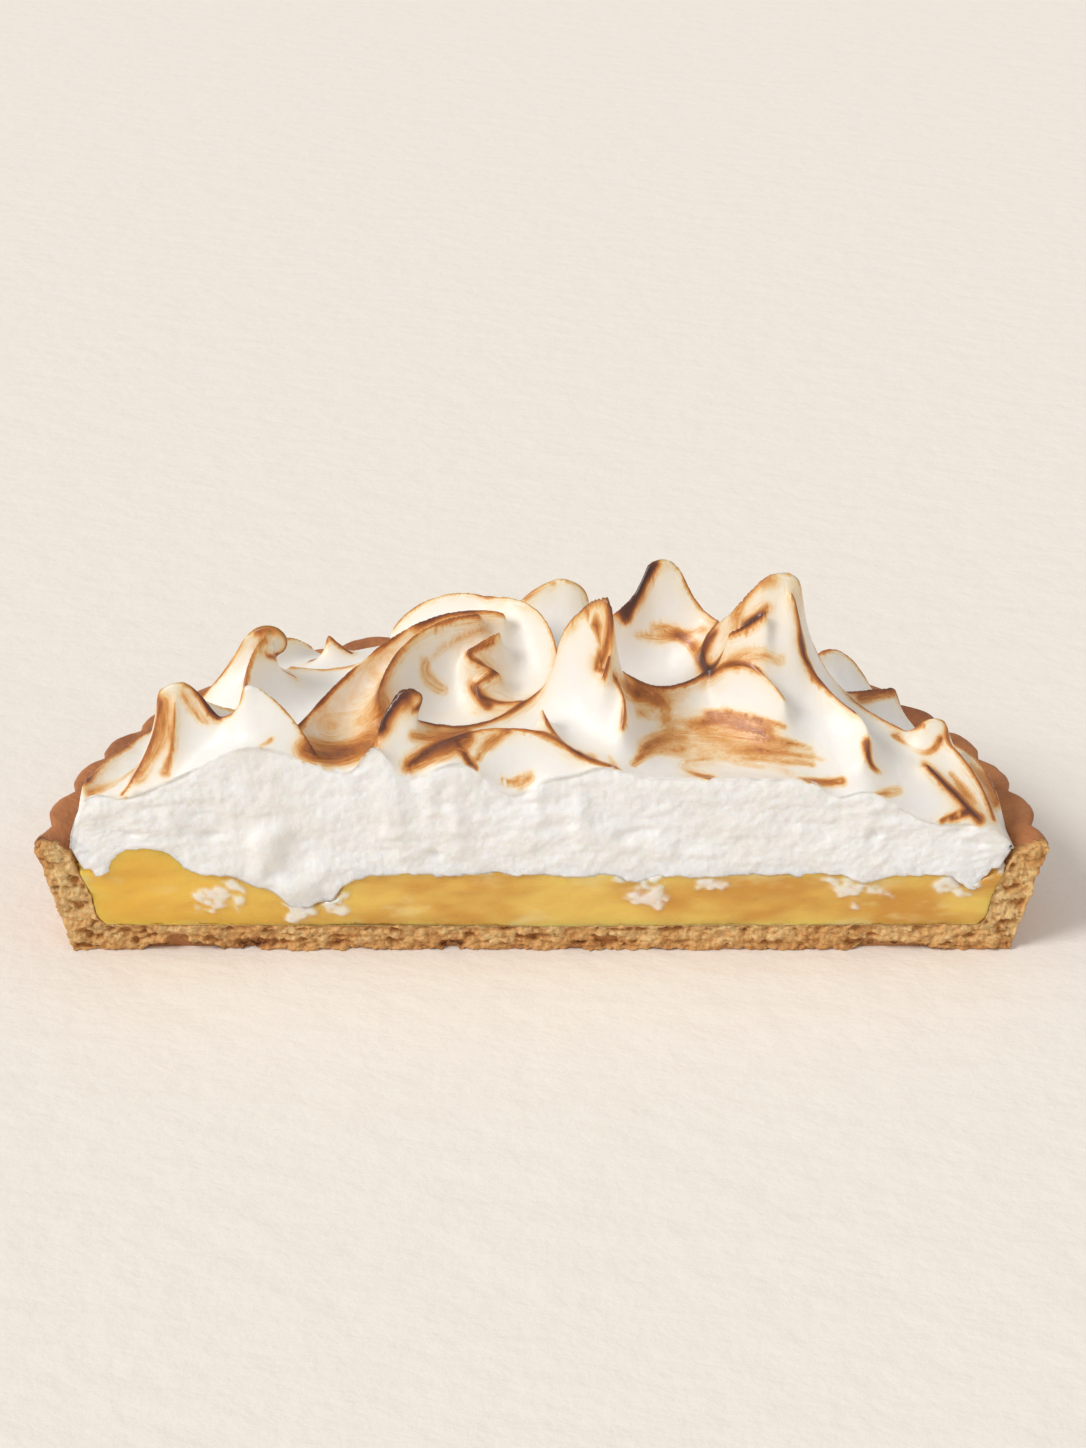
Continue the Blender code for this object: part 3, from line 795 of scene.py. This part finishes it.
curd = {
    "columns": 420, "rows": 36, "steps": 10, "sideGap": 0.3, "backShare": 0.98,
    # where foam was wiped over the curd by the knife: x, height, spread across, spread up, how many
    "smears": [(-77, 16, 5, 4, 12), (-50, 15, 3, 3, 6), (-58, 12, 2.5, 3, 7), (24, 17, 6, 5, 12),
               (40, 19, 3, 2, 4), (76, 17, 7, 4, 11), (98, 19, 7, 3, 9)],
}


def crustInnerAt(z):
    # half the width of the hollow that the curd and the meringue fill
    inner = np.array(crust["inner"])[::-1]
    return np.interp(z, inner[:, 1], inner[:, 0]) - curd["sideGap"]


def smearAmount(x, z):
    # 1 where foam lies over the curd, 0 where the curd is clean
    amount = np.zeros(len(x))
    flat = np.column_stack([x, z])
    wave = 1.3 * softNoise(flat, 2.2, 131)
    rng = np.random.default_rng(137)
    for middleX, middleZ, across, up, count in curd["smears"]:
        for _ in range(count):
            sx, sz = middleX + across * rng.uniform(-1, 1), middleZ + up * rng.uniform(-1, 1)
            wide, high, lean = rng.uniform(1.4, 3.2), rng.uniform(0.8, 1.8), rng.uniform(-0.7, 0.5)
            dx, dz = x - sx + wave * 0.8, z - sz - lean * (x - sx) + wave * 0.5
            amount = 1 - (1 - amount) * (1 - 0.85 * np.exp(-((dx / wide) ** 2 + (dz / high) ** 2)))
    fringe = np.exp(-np.clip(curdTopAt(x) - z, 0, None) / 0.9)
    fringe *= ease(layeredNoise(flat, (3.5, 1.6), 139), -0.1, 0.4)
    turned = flat @ [[1, 0.6], [-0.6, 1]]
    lace = 1.1 + 0.5 * layeredNoise(flat, 1.5, 141) + 0.4 * softNoise(turned, (2.4, 0.8), 143)
    return ease(np.maximum(amount, fringe) * lace, 0.28, 0.95)


def makeCurd(finish):
    columns, rows = curd["columns"], curd["rows"]
    body = addGrid("lemonCurd", columns, rows)
    t = np.linspace(0, 1, rows + 1)[:, None]
    s = np.linspace(-1, 1, columns + 1)[None, :]
    top = curdTopAt(s * 112) + 1.2
    z = curdBottom - 0.5 + (top - curdBottom + 0.5) * t
    x = s * crustInnerAt(z)
    flat = np.column_stack([x.ravel(), z.ravel()])
    depth = 0.45 * layeredNoise(flat, (16, 6), 151) + 0.22 * layeredNoise(flat, (5, 1.6), 161)
    depth += 0.5 * smearAmount(*flat.T)
    tucked = 1.6 * ease(z, top - 2.2, top - 0.8)  # behind the foam's lower edge
    writePoints(body, np.stack([x, 0.25 - depth.reshape(z.shape) + tucked, z], -1))

    # the cut's edge is drawn back and narrowed, step by step, round a quarter turn
    pickOpenEdges()
    step = math.pi / 2 / (curd["steps"] + 0.5)
    for k in range(curd["steps"]):
        push = (math.sin((k + 1) * step) - math.sin(k * step)) * fillingRadius * curd["backShare"] * mm
        narrow = math.cos((k + 1) * step) / math.cos(k * step)
        bpy.ops.mesh.extrude_region_move(TRANSFORM_OT_translate={"value": (0, push, 0)})
        bpy.ops.transform.resize(value=(narrow, 1, 1), center_override=(0, 0, 0))
    closeOver()

    points = readPoints(body)
    above = np.clip(points[:, 2] - curdTop["level"], 0, None)  # the swell runs out behind the cut
    points[:, 2] -= above * np.clip((points[:, 1] - 2) / 13, 0, 1)
    writePoints(body, points)
    storeValue(body, "smear", smearAmount(points[:, 0], points[:, 2]) * (points[:, 1] < 2))
    finishPiece(body, finish, "lemon_curd")
    print("curd poured:", len(body.data.polygons), "faces")
    return body


def curdFinish():
    finish = Finish("lemonCurd")
    smear = finish.stored("smear")
    wide = finish.noise(38, 2, 0.5, where=finish.stretched((1, 1, 2.2)))
    cloud = finish.noise(110, 3, 0.6, where=finish.stretched((0.6, 1, 1.4)))
    left = finish.axis(0).between(-0.03, -0.1)
    body = finish.blend(wide.between(0.36, 0.64), tint(212, 152, 52), tint(238, 198, 94))
    body = finish.blend(left * 0.6, body, tint(243, 192, 58))
    body = finish.blend(cloud.between(0.54, 0.74) * 0.5, body, tint(245, 218, 150))
    finish.drive(
        Base_Color=finish.blend(smear * 0.88, body, tint(246, 238, 228)),
        Roughness=0.2 + cloud * 0.16 + smear * 0.15,
        Normal=finish.relief(finish.noise(420, 3, 0.6), 0.0004, 0.35),
        Subsurface_Weight=0.55, Subsurface_Scale=0.006, Subsurface_Radius=(1.0, 0.55, 0.18),
        Coat_Weight=0.35, Coat_Roughness=0.12,
    )
    return finish.material


crust = {
    "flutes": 22, "fluteDepth": 2.6, "stepsPerFlute": 18,
    "backOff": 2.2,           # the wall starts this far behind the cut, inside the broken face
    "faceLength": 620, "faceSteps": 26, "faceDepth": 3.0,
    # one side of the crust: radius, height, share of the flute
    "outer": [(0, 0, 0), (100, 0, 0), (113, 0, 0.6), (115, 1, 0.8), (117.8, 13, 1), (120, 23, 1),
              (121.4, 29, 1), (120.5, 30.2, 0.9)],
    "inner": [(118, 30, 0.7), (115.5, 29, 0.45), (113, 27, 0.2), (111.6, 23, 0), (109, 16, 0),
              (108.2, 10, 0), (106, 7.5, 0), (0, 7.3, 0)],
    # pieces broken out of the base: broad ones at these shares of the half width, then small ones by seed
    "broadHoles": (-0.79, 0.77), "smallHoles": 6, "holeSeed": 59,
}


def fluted(radius, angle, share):
    groove = 1 - np.abs(np.cos(crust["flutes"] * angle))
    return radius - crust["fluteDepth"] * share * groove ** 1.15


def makeCrustWall(finish):
    # the fluted wall and the base: a section turned through half a circle
    section, _ = smoothPath(crust["outer"] + crust["inner"], 1.5)
    section[:, :2] = np.clip(section[:, :2], 0, None)
    stations = crust["flutes"] * crust["stepsPerFlute"]
    wall = addGrid("pastryWall", stations, len(section) - 1)
    angle = np.linspace(0, math.pi, stations + 1)[None, :]
    radius = fluted(section[:, :1], angle, np.clip(section[:, 2:], 0, 1))
    height = section[:, 1:2] * np.ones_like(angle)
    around = np.stack([radius * np.cos(angle), radius * np.sin(angle), height], -1).reshape(-1, 3)
    out = np.maximum(np.hypot(around[:, 0], around[:, 1]), 1)
    onWall = ease(around[:, 2], 0.2, 3) * ease(out, 60, 100)
    bumps = 0.35 * layeredNoise(around, 7, 201) + 0.22 * layeredNoise(around, 2.0, 211)
    around[:, :2] += around[:, :2] / out[:, None] * (bumps * onWall)[:, None]
    rim = ease(around[:, 2], 25, 29)
    around[:, 2] += rim * (0.5 * layeredNoise(around[:, :2], 6, 221) - 0.2)
    around[:, 1] = crust["backOff"] + around[:, 1] * (tartRadius - crust["backOff"]) / tartRadius
    writePoints(wall, around)

    pickOpenEdges(weld=True)  # the columns meet on the axis
    closeOver()
    finishPiece(wall, finish, "crust")
    print("crust wall turned:", len(wall.data.polygons), "faces")
    return wall


def brokenFaceOutline():
    # outer and inner edge of the cut pastry, from the left rim round the base to the right rim
    outer = [(radius - 0.3, height + 0.2) for radius, height, _ in reversed(crust["outer"][1:])]
    inner = [(radius, height) for radius, height, _ in crust["inner"][:-1]]
    inner.append((100, crust["inner"][-1][1]))
    for side in (outer, inner):
        whole = [(-x, z) for x, z in side] + [(0, side[-1][1])] + side[::-1]
        path, along = smoothPath(whole, 0.5)
        places = np.linspace(0, along[-1], crust["faceLength"] + 1)
        yield np.stack([np.interp(places, along, path[:, k]) for k in range(2)], 1)


def nearestCrumb(flat, spacing, seed):
    # distance to the nearest of scattered crumb centres, in spacings, and a value of its own for each crumb
    rng = np.random.default_rng(seed)
    cell = np.floor(flat / spacing).astype(int)
    low = cell.min(0) - 1
    size = cell.max(0) - low + 2
    jitter = rng.uniform(0.1, 0.9, (*size, 2))
    own = rng.uniform(0, 1, tuple(size))
    best, value = np.full(len(flat), 9.0), np.zeros(len(flat))
    for shift in itertools.product((-1, 0, 1), repeat=2):
        key = cell + shift - low
        centre = (cell + shift + jitter[key[:, 0], key[:, 1]]) * spacing
        apart = np.linalg.norm(flat - centre, axis=1) / spacing
        closer = apart < best
        best = np.where(closer, apart, best)
        value = np.where(closer, own[key[:, 0], key[:, 1]], value)
    return best, value


def makeBrokenFace(finish):
    # the cut edge of the pastry: crumbs and flakes, with holes where pieces broke out
    outer, inner = brokenFaceOutline()
    steps, length = crust["faceSteps"], crust["faceLength"]
    face = addGrid("pastryBrokenFace", length, steps)
    t = np.linspace(0, 1, steps + 1)[:, None, None]
    flat = (outer[None] * (1 - t) + inner[None] * t).reshape(-1, 2)
    inside = (4 * t * (1 - t) * np.ones((1, length + 1, 1))).ravel()
    big, bigOwn = nearestCrumb(flat * [1, 1.25], 2.6, 301)
    small, smallOwn = nearestCrumb(flat * [1, 1.2], 1.15, 311)
    depth = 1.0 * (0.55 - big) + 0.7 * (bigOwn - 0.5) + 0.5 * (0.5 - small) + 0.4 * (smallOwn - 0.5)
    depth += 0.6 * layeredNoise(flat, (5, 2.2), 321)
    hollow = ease(layeredNoise(flat, (4.5, 2.0), 331), 0.22, 0.55) * ease(inside, 0.1, 0.5)
    rng = np.random.default_rng(crust["holeSeed"])
    holes = [(share * fillingRadius, 0.5, 9, 1.8) for share in crust["broadHoles"]]
    for _ in range(crust["smallHoles"]):
        holes.append((rng.uniform(-90, 90), rng.uniform(1, 3), rng.uniform(2.5, 5), 1.4))
    for hx, hz, wide, high in holes:
        within = 1.3 - ((flat[:, 0] - hx) / wide) ** 2 - ((flat[:, 1] - hz) / high) ** 2
        hollow = np.maximum(hollow, ease(within, 0, 0.7))
    depth -= 1.9 * hollow
    ragged = 0.45 * layeredNoise(flat, 1.4, 341) + 0.35 * (0.5 - small)
    edge = 1 - ease(inside, 0, 0.35)
    wallMiddle = np.column_stack([np.sign(flat[:, 0]) * 113, flat[:, 1]])
    baseMiddle = np.column_stack([flat[:, 0], np.full(len(flat), 4.0)])
    away = flat - np.where(np.abs(flat[:, :1]) > 104, wallMiddle, baseMiddle)
    away /= np.maximum(np.linalg.norm(away, axis=1), 0.5)[:, None]
    flat = flat + away * (ragged * edge)[:, None]
    flat[:, 1] = np.maximum(flat[:, 1], 0.05 + 2.2 * hollow * edge)
    writePoints(face, np.column_stack([flat[:, 0], 0.6 - np.clip(depth, -2.4, 1.6), flat[:, 1]]))

    pickOpenEdges()
    bpy.ops.mesh.extrude_region_move(TRANSFORM_OT_translate={"value": (0, crust["faceDepth"] * mm, 0)})
    closeOver()
    points = readPoints(face)
    # painted shade: the further a point of the broken face lies behind the cut, the darker its crumb is
    # painted, so the holes, the hollows and the sides behind the face come out dark
    storeValue(face, "sunkShade", np.clip((points[:, 1] - 0.2) / 2.6, 0, 1))
    finishPiece(face, finish, "crust")
    print("broken face of the crust crumbled:", len(face.data.polygons), "faces")
    return face


def pastryWallFinish():
    finish = Finish("bakedPastry")
    height = finish.axis(2)
    patches = finish.noise(45, 3, 0.6)
    specks = finish.noise(420, 3, 0.65)
    bake = (height.between(0.022, 0.031) * 0.5 + patches.between(0.35, 0.75) * 0.5 + specks * 0.25).limited()
    color = finish.ramp(
        bake, (0.0, 214, 160, 104), (0.35, 202, 140, 84), (0.65, 184, 118, 70), (1.0, 146, 86, 50))
    grit = finish.noise(650, 4, 0.7) + finish.cells(520) * 0.6
    finish.drive(Base_Color=color, Roughness=0.62 + specks * 0.2, Normal=finish.relief(grit, 0.0007, 0.7))
    return finish.material


def crumbFinish():
    finish = Finish("brokenPastry")
    sunkShade = finish.stored("sunkShade")
    across = finish.axis(0).maths("ABSOLUTE")
    side = across.between(0.1, 0.1165)
    grains = finish.noise(600, 3, 0.7)
    patches = finish.noise(120, 3, 0.6)
    under = finish.axis(2).between(0.0045, 0.0)
    outside = across.between(0.1155, 0.1205)
    # bake mixes real browning (patches, grains, the underside, the outer skin) with the painted shade of the
    # holes and hollows
    bake = patches.between(0.3, 0.75) * 0.4 + grains.between(0.3, 0.75) * 0.3 + sunkShade * 0.5
    bake = (bake + under * 0.28 + outside * 0.3 - side * 0.12 - 0.08).limited()
    color = finish.ramp(
        bake,
        (0.0, 236, 200, 140), (0.3, 222, 170, 104), (0.6, 204, 144, 80), (0.85, 164, 104, 54),
        (1.0, 108, 64, 32),
    )
    finish.drive(Base_Color=color, Roughness=0.7,
                 Normal=finish.relief(finish.noise(1100, 4, 0.7) + finish.cells(900), 0.0006, 0.8),
                 Subsurface_Weight=0.12, Subsurface_Scale=0.002)
    return finish.material


studio = {
    # the camera: degrees down from level, distance and target in metres, lens in millimetres
    "tilt": 28.9, "distance": 0.55, "target": (0.00035, cutPlane, 0.0634), "lens": 59, "sensor": 36,
    "warmWhite": (1.0, 0.985, 0.968),
    "roomStrength": 0.575,
    "windowStrength": 1.85, "windowFrom": (-0.72, -0.36, 0.7), "windowSpread": 0.4,
}


def makeStage():
    selectNothing()
    bpy.ops.mesh.primitive_plane_add(size=6)
    floor = bpy.context.object
    floor.name = "paleSurface"
    finish = Finish("palePlaster")
    strokes = finish.noise(60, 5, 0.6, where=finish.stretched((1.0, 1.8, 1.0), 0.9))
    fine = finish.noise(180, 4, 0.6)
    tone = finish.blend(strokes.between(0.2, 0.8) * 0.5, tint(245, 238, 229), tint(242, 234, 224))
    finish.drive(Base_Color=tone, Roughness=0.85, Normal=finish.relief(strokes + fine * 0.35, 0.003, 0.3))
    floor.data.materials.append(finish.material)


def makeWindow():
    data = bpy.data.lights.new("bigWindow", "SUN")
    data.energy = studio["windowStrength"]
    data.angle = studio["windowSpread"]
    data.color = studio["warmWhite"]
    light = bpy.data.objects.new("bigWindow", data)
    light.rotation_euler = Vector(studio["windowFrom"]).to_track_quat("Z", "Y").to_euler()
    bpy.context.scene.collection.objects.link(light)


def makeWorld():
    world = bpy.data.worlds.new("softRoom")
    world.use_nodes = True
    background = world.node_tree.nodes["Background"]
    background.inputs["Color"].default_value = (*studio["warmWhite"], 1)
    background.inputs["Strength"].default_value = studio["roomStrength"]
    bpy.context.scene.world = world


def makeCamera():
    tilt, away = math.radians(studio["tilt"]), studio["distance"]
    data = bpy.data.cameras.new("tableView")
    data.sensor_width = studio["sensor"]
    data.lens = studio["lens"]
    camera = bpy.data.objects.new("tableView", data)
    camera.location = Vector(studio["target"]) + away * Vector((0, -math.cos(tilt), math.sin(tilt)))
    camera.rotation_euler = (math.pi / 2 - tilt, 0, 0)
    bpy.context.scene.collection.objects.link(camera)
    bpy.context.scene.camera = camera


makeCamera()
makeWorld()
makeWindow()
bpy.context.scene.view_settings.view_transform = "Standard"
makeStage()
makeCurd(curdFinish())
makeCrustWall(pastryWallFinish())
makeBrokenFace(crumbFinish())
makeMeringue(meringueFinish())
